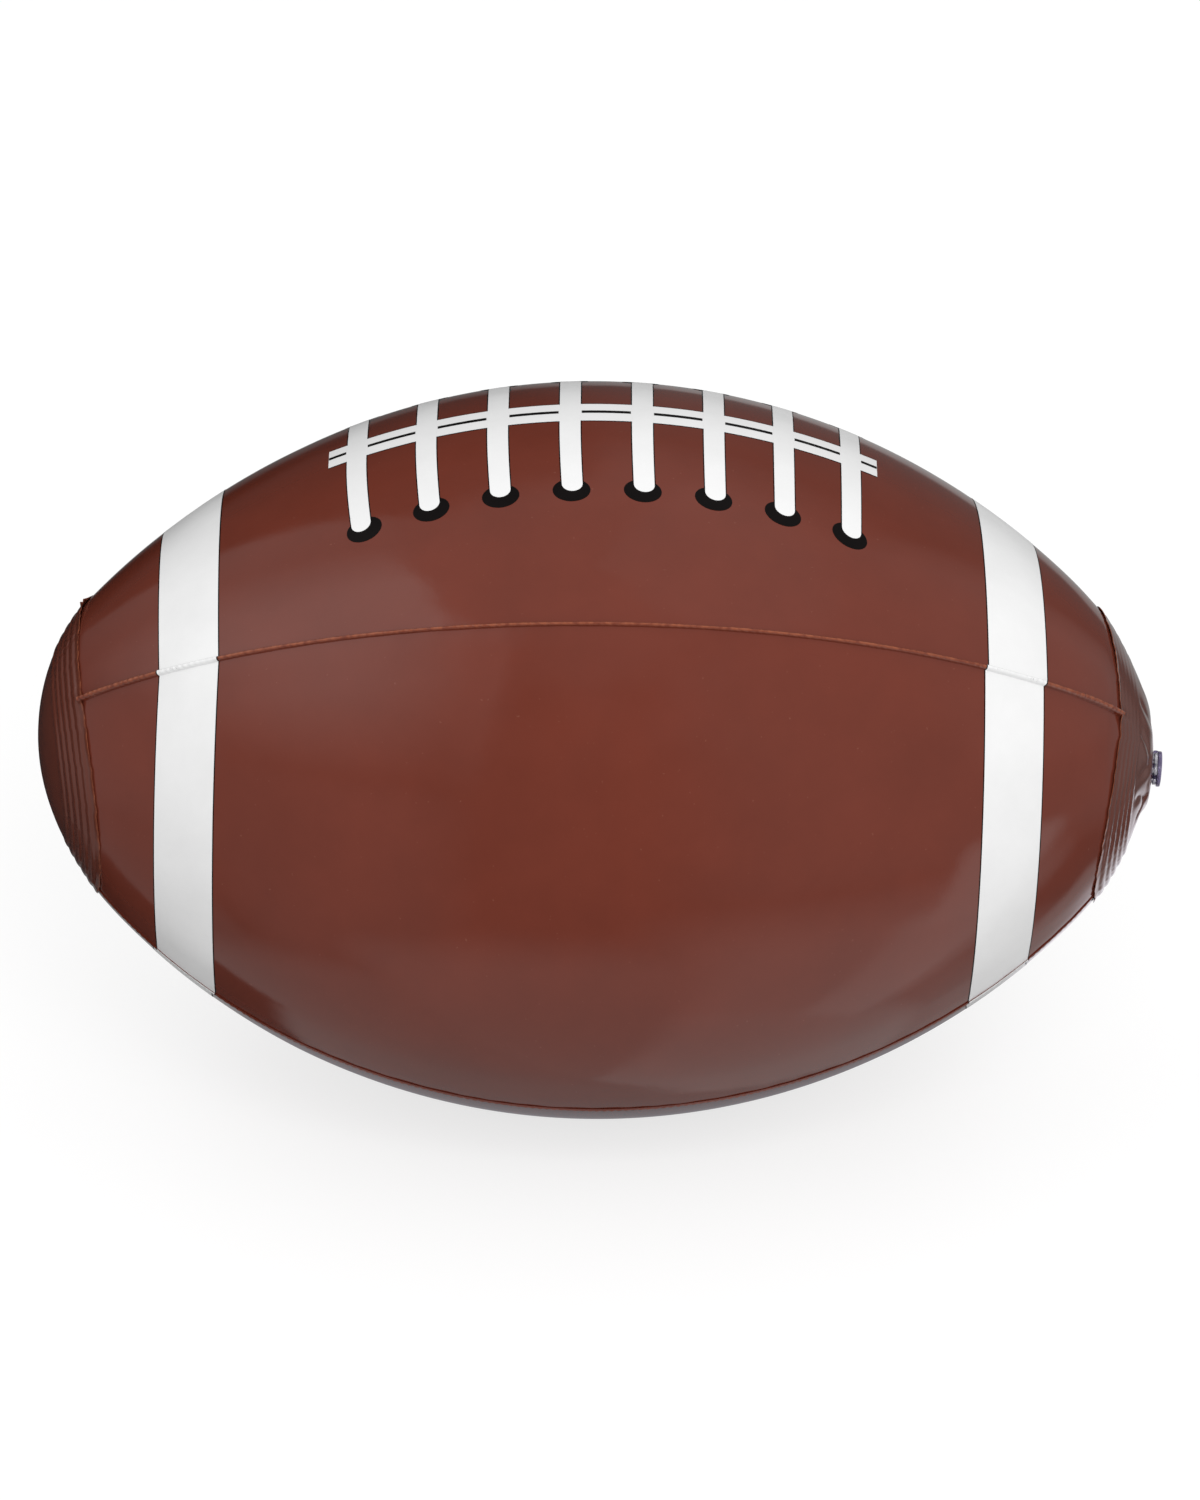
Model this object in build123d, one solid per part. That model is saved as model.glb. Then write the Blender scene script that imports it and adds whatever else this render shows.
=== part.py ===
"""Inflatable toy football of welded vinyl film: four panels, two ribbed end caps and a push-in valve.

Frame: the origin is the middle of the ball, +X runs along its long axis to the valve end,
and +Z points out through the middle of the lace panel. Millimetres.
"""

from build123d import *
from math import asin, cos, degrees, radians, sin, sqrt
import os

# ---- Ball, inflated ----------------------------------------------------------------------
ball_length = 400.0  # from cap top to cap top
seam_belly_radius = 134.8  # from the long axis to a seam, at mid-length
panel_flat = 4.3  # how much nearer the axis a panel's middle line lies than its seams
panel_flat_fade = 6  # power by which that flatness dies out towards the round caps
panel_film = 0.25  # thickness of the panels' vinyl
panel_stations = 7  # cross-sections that carry each panel's shape
panel_names = ["lace_panel", "front_panel", "bottom_panel", "rear_panel"]  # turning from +Z to -Y

# ---- Welded seams ------------------------------------------------------------------------
seam_bead_height = 1.3  # stands out of the film
seam_bead_half_width = 0.8  # the share of the bead on each panel
seam_bead_slope = 0.5  # how much of the height its sloping shoulder takes, as a share
seam_bead_crest = 0.4  # how much of the half width its flat crest takes, as a share
seam_root_share = 0.6  # depth of the bead's root, as a share of the film
seam_end_gap = 0.4  # from the end of a bead to the cap's edge

# ---- End caps ----------------------------------------------------------------------------
cap_sphere_radius = 80.5  # of the cap's outer face
cap_edge_radius = 49.4  # from the long axis to the cap's cut edge
cap_film = 0.3
cap_rib_count = 5  # rings embossed over the weld
cap_rib_pitch = 3.85  # measured over the cap's face
cap_rib_height = 0.9
cap_rib_crest = 0.6  # where each ring's crest lies, as a share of the pitch out from its foot
cap_lip_height = 1.1  # the cut edge turns up off the panels
cap_lip_width = 2.4

# ---- Valve, in the right cap ---------------------------------------------------------------
valve_offset = 6.0  # the valve sits this far below the long axis
valve_hole_radius = 7.5
flange_radius = 12.0
flange_thickness = 0.6
diaphragm_film = 0.5
diaphragm_foot_width = 2.0  # of the ring welded under the flange
diaphragm_depth = 6.0  # from the cap's face to the fold's root on the stem
stem_bore_radius = 3.6
stem_wall = 1.5
stem_proud = 1.5  # of the pushed-in stem's mouth over the cap
stem_length = 13.5
stem_lip_radius = 5.8
stem_lip_height = 1.2
stem_collar_height = 0.8
stem_collar_overhang = 0.6
flap_radius = 4.7
flap_thickness = 0.6
flap_hinge_width = 3.0
stopper_head_radius = 6.4
stopper_head_height = 1.4
stopper_head_bevel = 0.4
stopper_plug_length = 6.6
stopper_plug_wall = 1.1
stopper_tip_length = 1.2
stopper_tip_taper = 0.5
strap_width = 3.0
strap_thickness = 0.7
strap_reach = 5.2  # straight run of the loop, out from the stem's lip

# ---- Clearances ----------------------------------------------------------------------------
plug_clearance = 0.08  # of the plug in the stem's bore
seat_clearance = 0.1  # between faces that meet when the valve is shut
fold_clearance = 0.2  # between the diaphragm's inner edge and the stem

# ---- Worked out from the sizes above -------------------------------------------------------
half_length = ball_length / 2
cap_centre_x = half_length - cap_sphere_radius
cap_seat_radius = cap_sphere_radius - cap_film  # sphere on which cap and panel ends meet
body_half_length = cap_centre_x + sqrt(cap_seat_radius**2 - cap_edge_radius**2)
seam_drop = seam_belly_radius - cap_edge_radius
meridian_radius = (seam_drop**2 + body_half_length**2) / (2 * seam_drop)
half_panel_angle = 180 / len(panel_names)
stem_radius = stem_bore_radius + stem_wall
stem_end = stem_proud - stem_length
cap_edge_angle = degrees(asin(cap_edge_radius / cap_seat_radius))
rib_angle = degrees(cap_rib_pitch / cap_sphere_radius)
lip_angle = degrees(cap_lip_width / cap_sphere_radius)
band_end_angle = cap_edge_angle - lip_angle - cap_rib_count * rib_angle
valve_axis_tilt = degrees(asin(valve_offset / cap_sphere_radius))


def seam_radius(x):
    """Distance from the long axis to a seam: an arc from cap edge to cap edge."""
    return seam_belly_radius - meridian_radius + sqrt(meridian_radius**2 - x**2)


def panel_middle_radius(x):
    """Distance from the long axis to a panel's middle line, which lies flatter."""
    return seam_radius(x) - panel_flat * (1 - abs(x / body_half_length) ** panel_flat_fade)


def film_section(x):
    """Cross-section of one panel at x: a thin arc between two seam planes, bowed about +Z."""
    wall = panel_film * meridian_radius / sqrt(meridian_radius**2 - x**2)
    side = Vector(sin(radians(half_panel_angle)), cos(radians(half_panel_angle)))
    other = Vector(-side.X, side.Y)
    outer, inner = seam_radius(x), seam_radius(x) - wall
    middle = Vector(0, panel_middle_radius(x))
    outline = [
        ThreePointArc(other * outer, middle, side * outer),
        Line(side * outer, side * inner),
        ThreePointArc(side * inner, middle - Vector(0, wall), other * inner),
        Line(other * inner, other * outer),
    ]
    return Plane.YZ.offset(x) * make_face(outline)


def on_cap(radius, angle):
    """Point of the XZ plane on a sphere about the right cap's centre, angle off the long axis."""
    return Vector(cap_centre_x + radius * cos(radians(angle)), radius * sin(radians(angle)))


def cap_arc(radius, first, last):
    return ThreePointArc(
        on_cap(radius, first), on_cap(radius, (first + last) / 2), on_cap(radius, last)
    )


def panel_end_tab():
    """The panel's end, which lies on the cap's inner face all along the ribbed weld band."""
    wall = panel_film * meridian_radius / sqrt(meridian_radius**2 - body_half_length**2)
    start = Vector(body_half_length, cap_edge_radius - wall)
    inside = cap_seat_radius - panel_film
    middle_angle = (cap_edge_angle + band_end_angle) / 2
    outline = [
        cap_arc(cap_seat_radius, cap_edge_angle, band_end_angle),
        Line(on_cap(cap_seat_radius, band_end_angle), on_cap(inside, band_end_angle)),
        ThreePointArc(on_cap(inside, band_end_angle), on_cap(inside, middle_angle), start),
        Line(start, on_cap(cap_seat_radius, cap_edge_angle)),
    ]
    tab = revolve(Plane.XZ * make_face(outline), Axis.X, 2 * half_panel_angle)
    return tab.rotate(Axis.X, -half_panel_angle)


def half_bead():
    """Half of a seam's bead, rooted in the film on the +Y side of the XZ plane."""
    root = seam_belly_radius - seam_root_share * panel_film
    shoulder = seam_belly_radius + (1 - seam_bead_slope) * seam_bead_height
    top = seam_belly_radius + seam_bead_height
    outline = [
        (0, root),
        (seam_bead_half_width, root),
        (seam_bead_half_width, shoulder),
        (seam_bead_crest * seam_bead_half_width, top),
        (0, top),
    ]
    section = Plane.YZ * make_face(Polyline(outline, close=True))
    centre = Axis((0, 0, seam_belly_radius - meridian_radius), (0, 1, 0))
    reach = degrees(asin((body_half_length - seam_end_gap) / meridian_radius))
    return revolve(section, centre, 2 * reach).rotate(centre, -reach)


def panel():
    """One panel about +Z: its film, its two end tabs and its half of each seam's bead."""
    reach = asin(body_half_length / meridian_radius)
    spread = [2 * i / (panel_stations - 1) - 1 for i in range(panel_stations)]
    film = loft([film_section(meridian_radius * sin(reach * share)) for share in spread])
    tab = panel_end_tab()
    bead = half_bead().rotate(Axis.X, half_panel_angle)
    return film + tab + mirror(tab, Plane.YZ) + bead + mirror(bead, Plane.XZ)


def end_cap():
    """The right end's cap: smooth in the middle, ribbed over the weld, its cut edge turned up."""
    ribs = [on_cap(cap_sphere_radius, band_end_angle)]
    for i in range(cap_rib_count):
        start = band_end_angle + i * rib_angle
        ribs.append(on_cap(cap_sphere_radius + cap_rib_height, start + cap_rib_crest * rib_angle))
        ribs.append(on_cap(cap_sphere_radius, start + rib_angle))
    ribs.append(on_cap(cap_sphere_radius + cap_lip_height, cap_edge_angle))
    outline = [
        cap_arc(cap_sphere_radius, 0, band_end_angle),
        Polyline(ribs),
        Line(ribs[-1], on_cap(cap_seat_radius, cap_edge_angle)),
        cap_arc(cap_seat_radius, cap_edge_angle, 0),
        Line(on_cap(cap_seat_radius, 0), on_cap(cap_sphere_radius, 0)),
    ]
    return revolve(Plane.XZ * make_face(outline), Axis.X)


# ---- Valve pieces, about +Z with the cap's face at Z = 0, the outside above it ---------------


def under_cap(depth, radius):
    """Point of a valve profile on the sphere that lies depth under the cap's face."""
    return Vector(radius, sqrt((cap_sphere_radius - depth) ** 2 - radius**2) - cap_sphere_radius)


def curved_ring(depth, thickness, inner, outer):
    """Profile of a ring that follows the cap's inner face."""
    middle, below = (inner + outer) / 2, depth + thickness
    return make_face(
        [
            ThreePointArc(*(under_cap(depth, r) for r in (inner, middle, outer))),
            Line(under_cap(depth, outer), under_cap(below, outer)),
            ThreePointArc(*(under_cap(below, r) for r in (outer, middle, inner))),
            Line(under_cap(below, inner), under_cap(depth, inner)),
        ]
    )


def valve_flange():
    """The disc welded under the cap, around the hole."""
    ring = curved_ring(cap_film, flange_thickness, valve_hole_radius, flange_radius)
    return revolve(Plane.XZ * ring, Axis.Z)


def valve_diaphragm():
    """The soft cone that folds through the hole, and its foot under the flange."""
    depth = cap_film + flange_thickness
    foot_edge = valve_hole_radius + diaphragm_foot_width
    foot = curved_ring(depth, diaphragm_film, valve_hole_radius, foot_edge)
    top = under_cap(depth + diaphragm_film / 2, valve_hole_radius + diaphragm_film / 2)
    root = Vector(stem_radius + fold_clearance + diaphragm_film / 2, -diaphragm_depth)
    return revolve(Plane.XZ * (foot + trace(Line(top, root), diaphragm_film)), Axis.Z)


def tube(outer, inner, top, height):
    """A ring about Z that hangs from the height top."""
    hanging = (Align.CENTER, Align.CENTER, Align.MAX)
    ring = Cylinder(outer, height, align=hanging) - Cylinder(inner, height, align=hanging)
    return Pos(0, 0, top) * ring


def valve_stem():
    """The blow tube, with the lip that the stopper shuts on and the collar under the fold."""
    collar_top = -diaphragm_depth - diaphragm_film / 2 - seat_clearance
    stem = tube(stem_radius, stem_bore_radius, stem_proud, stem_length)
    stem += tube(stem_lip_radius, stem_bore_radius, stem_proud, stem_lip_height)
    stem += tube(stem_radius + stem_collar_overhang, stem_bore_radius, collar_top, stem_collar_height)
    return stem


def check_flap():
    """The leaf that shuts the stem's inner end, with the tab that it bends at."""
    hanging = (Align.CENTER, Align.CENTER, Align.MAX)
    leaf = Cylinder(flap_radius, flap_thickness, align=hanging)
    tab_place = (Align.CENTER, Align.MIN, Align.MAX)
    leaf += Box(flap_hinge_width, stem_radius, flap_thickness, align=tab_place)
    return Pos(0, 0, stem_end - seat_clearance) * leaf


def stopper():
    """The plug that shuts the stem: a flat head and a hollow shank with a tapered tip."""
    standing, hanging = (Align.CENTER, Align.CENTER, Align.MIN), (Align.CENTER, Align.CENTER, Align.MAX)
    shank_radius = stem_bore_radius - plug_clearance
    shank_length = stopper_plug_length - stopper_tip_length
    head = Cylinder(stopper_head_radius, stopper_head_height, align=standing)
    head = chamfer(head.edges().group_by(Axis.Z)[-1], stopper_head_bevel)
    shank = Cylinder(shank_radius, shank_length, align=hanging)
    tip_radius = shank_radius - stopper_tip_taper
    tip = Cone(tip_radius, shank_radius, stopper_tip_length, align=hanging)
    hollow = Cylinder(tip_radius - stopper_plug_wall, stopper_plug_length, align=hanging)
    return Pos(0, 0, stem_proud + seat_clearance) * (
        head + shank + Pos(0, 0, -shank_length) * tip - hollow
    )


def stopper_strap():
    """The strap that keeps the stopper: out from the stem's lip, round and back to the head."""
    low = stem_proud - stem_lip_height / 2
    high = stem_proud + seat_clearance + stopper_head_height / 2
    turn = stem_lip_radius + seat_clearance + strap_reach
    bend = (high - low) / 2
    path = [
        Line((stem_lip_radius + seat_clearance, low), (turn, low)),
        ThreePointArc((turn, low), (turn + bend, low + bend), (turn, high)),
        Line((turn, high), (stopper_head_radius + seat_clearance, high)),
    ]
    band = trace(path, strap_thickness)
    return extrude(Plane.XZ * band, strap_width / 2, both=True)


# ---- The assembly ----------------------------------------------------------------------------

valve_out = Vector(cos(radians(valve_axis_tilt)), 0, -sin(radians(valve_axis_tilt)))
valve_face = Vector(cap_centre_x, 0, 0) + valve_out * cap_sphere_radius
valve_place = Plane(origin=valve_face, x_dir=(0, 1, 0), z_dir=valve_out)

one_panel = panel()
parts = {
    name: one_panel.rotate(Axis.X, i * 2 * half_panel_angle) for i, name in enumerate(panel_names)
}
plain_cap = end_cap()
parts["left_end_cap"] = mirror(plain_cap, Plane.YZ)
parts["right_end_cap"] = plain_cap - valve_place * Cylinder(valve_hole_radius, cap_sphere_radius / 2)
for make in (valve_flange, valve_diaphragm, valve_stem, check_flap, stopper, stopper_strap):
    parts[make.__name__] = valve_place * make()

os.makedirs("parts", exist_ok=True)
for name, shape in parts.items():
    export_step(shape, f"parts/{name}.step")
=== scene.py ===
"""Dressed model of the inflatable toy football: glossy vinyl panels, printed laces and stripes.

Everything is built in millimetres by the functions below and scaled to metres in make_mesh().
"""

from math import asin, cos, pi, radians, sin, sqrt, tan

import bmesh
import bpy
import numpy as np
from mathutils import Matrix, Vector


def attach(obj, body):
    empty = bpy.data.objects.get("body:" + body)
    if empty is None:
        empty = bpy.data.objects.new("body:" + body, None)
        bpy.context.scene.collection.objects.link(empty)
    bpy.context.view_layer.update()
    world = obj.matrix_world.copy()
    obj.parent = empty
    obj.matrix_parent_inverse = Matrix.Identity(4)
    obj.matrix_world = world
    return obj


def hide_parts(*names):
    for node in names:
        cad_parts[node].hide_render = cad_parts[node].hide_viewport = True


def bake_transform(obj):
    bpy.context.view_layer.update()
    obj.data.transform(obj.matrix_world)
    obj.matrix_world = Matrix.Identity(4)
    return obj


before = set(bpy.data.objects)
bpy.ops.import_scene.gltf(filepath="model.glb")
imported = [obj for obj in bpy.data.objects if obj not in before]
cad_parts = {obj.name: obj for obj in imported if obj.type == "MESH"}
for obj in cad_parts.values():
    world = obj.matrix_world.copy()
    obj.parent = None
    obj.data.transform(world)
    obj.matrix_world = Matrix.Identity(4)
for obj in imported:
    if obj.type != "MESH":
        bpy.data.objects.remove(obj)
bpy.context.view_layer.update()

MM = 0.001

# ---- The ball's shape, as in the CAD (mm) ----
SEAM_BELLY = 134.8  # seam's distance from the long axis at mid-length
PANEL_FLAT = 4.3  # how much nearer the axis a panel's middle lies
FLAT_POWER = 6
FILM = 0.25
CAP_SPHERE = 80.5
CAP_SEAT = 80.2
CAP_FILM = 0.3
CAP_EDGE = 49.4  # radius of the cap's cut edge
CAP_X = 119.5  # centre of the cap's sphere
BODY_HALF = CAP_X + sqrt(CAP_SEAT**2 - CAP_EDGE**2)
SEAM_DROP = SEAM_BELLY - CAP_EDGE
MERIDIAN = (SEAM_DROP**2 + BODY_HALF**2) / (2 * SEAM_DROP)
EDGE_ANGLE = asin(CAP_EDGE / CAP_SEAT)
BODY_RUN = MERIDIAN * asin(BODY_HALF / MERIDIAN)  # along the skin, from mid-length to the edge
POLE_RUN = BODY_RUN + CAP_SEAT * EDGE_ANGLE  # and on to the cap's pole
QUARTER = pi / 4

PANELS = ("lace", "front", "bottom", "rear")

# How the blown-up ends sit off the plain form: distance along the skin, then mm outward in a part
# that runs round the ball as a cosine and in an even part. The left end is bent up a little.
END_TURN = radians(-26)  # where the cosine is greatest, from +Z toward -Y
END_FORM = {
    "left": (
        (110, 0, 0), (162, 0.6, 0), (176, 0.9, 0), (192, 1.15, 0), (203, 1.4, -0.15),
        (210, 2.0, -0.6), (225, 1.95, -0.65), (240, 1.2, -0.55), (261.5, 0, -0.45),
    ),
    "right": (
        (150, 0, 0), (192, 0.15, -0.1), (207, 0.2, -0.6), (213, 0.3, -1.1), (222, 0.3, -1.5),
        (233, 0.5, -1.4), (240, 0.8, -0.9), (248, 0, 0), (261.5, 0, 0),
    ),
}
FORM_RUNS = np.arange(90.0, 275.0, 0.5)
BLUR_REACH = 24  # in steps of FORM_RUNS
BLUR_WIDTH = 9.0
BLUR = np.exp(-((np.arange(-BLUR_REACH, BLUR_REACH + 1) / BLUR_WIDTH) ** 2))


def smoothed(stops, part):
    """One part of an end's form at each of FORM_RUNS, with the stops' corners rounded off."""
    distance, *sizes = np.array(stops, float).T
    padded = np.pad(FORM_RUNS, BLUR_REACH, "reflect", reflect_type="odd")
    return np.convolve(np.interp(padded, distance, sizes[part]), BLUR / BLUR.sum(), "valid")


END_CURVES = {side: [smoothed(stops, part) for part in (0, 1)] for side, stops in END_FORM.items()}


def end_form(run, turn):
    """How far outward of the plain form the skin lies, at a turn from +Z toward -Y."""
    far = np.abs(run)
    wave, even = (
        np.where(
            run < 0,
            np.interp(far, FORM_RUNS, END_CURVES["left"][part]),
            np.interp(far, FORM_RUNS, END_CURVES["right"][part]),
        )
        for part in (0, 1)
    )
    return wave * np.cos(turn - END_TURN) + even


PUCKER_HEIGHT = 0.05
PUCKER_REACH = 3.2  # from the weld
DIP_DEPTH = 0.10  # of the shallow trough beside the puckers
DIP_PLACE = 13.0
DIP_REACH = 6.0
CALM_LENGTH = 8.0  # over which the relief ends before the cap


def relief(run, phi, k):
    """Small departures of the blown-up film from the plain form: puckers along the welds."""
    rough_radius = 90.0 + 40.0 * np.cos(run / 150.0)
    from_seam = (QUARTER - np.abs(phi)) * rough_radius
    side = np.where(phi < 0, 1.0, 2.0) + 2.0 * k
    pucker = np.sin(run / 1.9 + 2.1 * side + 1.3 * np.sin(run / 9.0 + side))
    swell = np.sin(run / 7.3 + side * 1.7) * np.sin(run / 23.0 + side)
    near = np.exp(-((from_seam / PUCKER_REACH) ** 2))
    trough = np.exp(-(((from_seam - DIP_PLACE) / DIP_REACH) ** 2))
    out = PUCKER_HEIGHT * near * (pucker + swell) - DIP_DEPTH * trough
    return out * np.clip((BODY_RUN + 2.0 - np.abs(run)) / CALM_LENGTH, 0.0, 1.0)


def skin(run, phi, k, puckers=True):
    """Point of panel k's outer face: run along the skin from mid-length, phi from its middle.

    Past the panel's end it goes on over the cap's seat to the pole.
    """
    run, phi = np.broadcast_arrays(np.asarray(run, float), np.asarray(phi, float))
    a = np.clip(np.abs(run), 0, BODY_RUN) / MERIDIAN
    x = MERIDIAN * np.sin(a)
    seam = SEAM_BELLY - MERIDIAN + MERIDIAN * np.cos(a)
    middle = seam - PANEL_FLAT * (1 - (x / BODY_HALF) ** FLAT_POWER)
    lean = (seam**2 - middle**2) / (2 * (middle - seam * cos(QUARTER)))
    r = -lean * np.cos(phi) + np.sqrt((middle + lean) ** 2 - (lean * np.sin(phi)) ** 2)
    if puckers:
        r = r + relief(run, phi, k)
    over = np.clip(np.abs(run) - BODY_RUN, 0, None) / CAP_SEAT
    polar = EDGE_ANGLE - over
    on_cap = over > 0
    turn = phi + k * 2 * QUARTER
    out = end_form(run, turn)
    x = np.where(on_cap, CAP_X + (CAP_SEAT + out) * np.cos(polar), x + out * np.sin(a))
    x = np.where(run < 0, -x, x)
    r = np.where(on_cap, (CAP_SEAT + out) * np.sin(polar), r + out * np.cos(a))
    return np.stack([x, -r * np.sin(turn), r * np.cos(turn)], -1)


def skin_normal(run, phi, k):
    """Outward normal, from points a small step to each side."""
    step = 0.05
    bend = step / 90.0
    along = skin(run + step, phi, k) - skin(run - step, phi, k)
    across = skin(run, phi + bend, k) - skin(run, phi - bend, k)
    n = np.cross(along, across)
    n /= np.linalg.norm(n, axis=-1, keepdims=True)
    out = skin(run, phi, k)
    flip = np.sign((n * (out - out * [1, 0, 0])).sum(-1, keepdims=True))
    return n * flip


def lifted(run, phi, k, lift):
    """Points at a height above the panel's outer face."""
    return skin(run, phi, k) + skin_normal(run, phi, k) * np.asarray(lift)[..., None]


def ring_radius(run):
    """Rough distance of the skin from the axis at run, to turn arc lengths into angles."""
    return np.hypot(*np.moveaxis(skin(run, 0.0, 0, False)[..., 1:], -1, 0))


def run_of(x):
    """Distance along the skin to the ring at a place on the long axis, for the right half."""
    x = np.asarray(x, float)
    on_body = MERIDIAN * np.arcsin(np.clip(x, 0, BODY_HALF) / MERIDIAN)
    polar = np.arccos(np.clip((x - CAP_X) / CAP_SEAT, -1, 1))
    return np.where(x > BODY_HALF, BODY_RUN + CAP_SEAT * (EDGE_ANGLE - polar), on_body)


# ---- Mesh helpers ----


def grid_faces(rows, cols, start=0, wrap=False, flip=False):
    """Quads of a grid of points; wrap joins the last column to the first."""
    i = np.arange(rows - 1)[:, None]
    j = np.arange(cols if wrap else cols - 1)[None, :]
    nxt = (j + 1) % cols
    a, b = i * cols + j, i * cols + nxt
    c, d = (i + 1) * cols + nxt, (i + 1) * cols + j
    quads = np.stack([a, b, c, d], -1).reshape(-1, 4) + start
    return quads[:, ::-1] if flip else quads


def shell(outer, inner, wrap=False):
    """Closed shell between two grids of points; wrap joins the first column to the last."""
    rows, cols = outer.shape[:2]
    n = rows * cols
    verts = np.concatenate([outer.reshape(-1, 3), inner.reshape(-1, 3)])
    faces = [grid_faces(rows, cols, 0, wrap), grid_faces(rows, cols, n, wrap, True)]
    j = np.arange(cols if wrap else cols - 1)
    nxt = (j + 1) % cols
    last = (rows - 1) * cols
    faces.append(np.stack([nxt, j, j + n, nxt + n], -1))
    faces.append(np.stack([last + j, last + nxt, last + nxt + n, last + j + n], -1))
    if not wrap:
        i = np.arange(rows - 1) * cols
        faces.append(np.stack([i, i + cols, i + cols + n, i + n], -1))
        e = i + cols - 1
        faces.append(np.stack([e + cols, e, e + n, e + cols + n], -1))
    return verts, np.concatenate(faces)


def joined(*parts):
    """One part from several, each a pair of points and quads."""
    verts, faces, at = [], [], 0
    for v, f in parts:
        verts.append(v)
        faces.append(f + at)
        at += len(v)
    return np.concatenate(verts), np.concatenate(faces)


def set_points(mesh, name, values):
    """Store a number for each of a mesh's points."""
    layer = mesh.attributes.new(name, "FLOAT", "POINT")
    layer.data.foreach_set("value", np.asarray(values, np.float32).ravel())


def make_mesh(name, part, material, sharp=50.0, lit_edges=None):
    """Object from points in mm and quads, with loose doubles welded and normals pointing out."""
    verts, faces = part
    mesh = bpy.data.meshes.new(name)
    mesh.from_pydata((verts * MM).tolist(), [], faces.tolist())
    # each point's share of the cut edge's lighter colour and painted highlight
    if lit_edges is not None:
        set_points(mesh, "lit_cut_edge", lit_edges)
    bm = bmesh.new()
    bm.from_mesh(mesh)
    bmesh.ops.remove_doubles(bm, verts=bm.verts, dist=2e-7)
    bmesh.ops.recalc_face_normals(bm, faces=bm.faces)
    bm.to_mesh(mesh)
    bm.free()
    mesh.polygons.foreach_set("use_smooth", np.ones(len(mesh.polygons), bool))
    mesh.set_sharp_from_angle(angle=radians(sharp))
    obj = bpy.data.objects.new(name, mesh)
    bpy.context.scene.collection.objects.link(obj)
    mesh.materials.append(material)
    return obj


# ---- Materials ----


def linear(r, g, b):
    """Linear colour of an sRGB one in 0 to 255."""
    out = []
    for c in (r, g, b):
        c /= 255
        out.append(c / 12.92 if c <= 0.04045 else ((c + 0.055) / 1.055) ** 2.4)
    return (*out, 1.0)


class Nodes:
    """A material's node tree, with short calls for what the finishes share."""

    def __init__(self, name):
        self.material = bpy.data.materials.new(name)
        self.material.use_nodes = True
        self.tree = self.material.node_tree
        self.shader = self.tree.nodes["Principled BSDF"]
        self.place = self.tree.nodes.new("ShaderNodeTexCoord").outputs["Object"]

    def link(self, source, target):
        self.tree.links.new(source, target)

    def set(self, **values):
        """Give the shader's inputs numbers or sockets."""
        for key, value in values.items():
            target = self.shader.inputs[key.replace("_", " ")]
            if isinstance(value, float):
                target.default_value = value
            else:
                self.link(value, target)

    def noise(self, scale, detail=3.0, rough=0.5, stretch=None):
        node = self.tree.nodes.new("ShaderNodeTexNoise")
        node.inputs["Scale"].default_value = scale
        node.inputs["Detail"].default_value = detail
        node.inputs["Roughness"].default_value = rough
        place = self.place
        if stretch:
            mapping = self.tree.nodes.new("ShaderNodeMapping")
            mapping.inputs["Scale"].default_value = stretch
            self.link(place, mapping.inputs["Vector"])
            place = mapping.outputs["Vector"]
        self.link(place, node.inputs["Vector"])
        return node.outputs["Fac"]

    def math(self, operation, a, b):
        """b is a number or a socket."""
        node = self.tree.nodes.new("ShaderNodeMath")
        node.operation = operation
        self.link(a, node.inputs[0])
        if isinstance(b, float):
            node.inputs[1].default_value = b
        else:
            self.link(b, node.inputs[1])
        return node.outputs[0]

    def ramp(self, source, low, high, at=(0.3, 0.7)):
        """low and high are numbers or colours."""
        if isinstance(low, tuple):
            node = self.tree.nodes.new("ShaderNodeValToRGB")
            for stop, place, colour in zip(node.color_ramp.elements, at, (low, high)):
                stop.position, stop.color = place, colour
            self.link(source, node.inputs["Fac"])
            return node.outputs["Color"]
        node = self.tree.nodes.new("ShaderNodeMapRange")
        for key, value in zip(("From Min", "From Max", "To Min", "To Max"), (*at, low, high)):
            node.inputs[key].default_value = value
        self.link(source, node.inputs["Value"])
        return node.outputs["Result"]

    def cover(self, factor, under, colour):
        """A plain colour laid over another socket's by a factor."""
        node = self.tree.nodes.new("ShaderNodeMix")
        node.data_type = "RGBA"
        self.link(factor, node.inputs["Factor"])
        lower, upper = (socket for socket in node.inputs if socket.type == "RGBA")
        self.link(under, lower)
        upper.default_value = colour
        return next(socket for socket in node.outputs if socket.type == "RGBA")

    def graze(self, power, most):
        """Grows from 0 where the surface faces the eye to most where it is seen edge-on."""
        weight = self.tree.nodes.new("ShaderNodeLayerWeight")
        weight.inputs["Blend"].default_value = 0.5
        curve = self.math("POWER", weight.outputs["Facing"], power)
        return self.ramp(curve, 0.0, most, at=(0.0, 1.0))

    def bump(self, height, strength, distance, under=None):
        node = self.tree.nodes.new("ShaderNodeBump")
        node.inputs["Strength"].default_value = strength
        node.inputs["Distance"].default_value = distance
        self.link(height, node.inputs["Height"])
        if under:
            self.link(under, node.inputs["Normal"])
        return node.outputs["Normal"]


# painted shade: how the film's colour darkens toward where it is seen edge-on
GRAZE_SHADE_POWER = 2.6
GRAZE_SHADE_COLOUR = linear(24, 12, 10)
SPECK_COLOUR = linear(150, 96, 80)
# the cut edges' own lighter colour, raised to a painted highlight of light through the thin film
LIT_CUT_EDGE_COLOUR = linear(150, 84, 58)
MOTTLE = 0.07  # lighter and darker than the base, as a share


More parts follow.
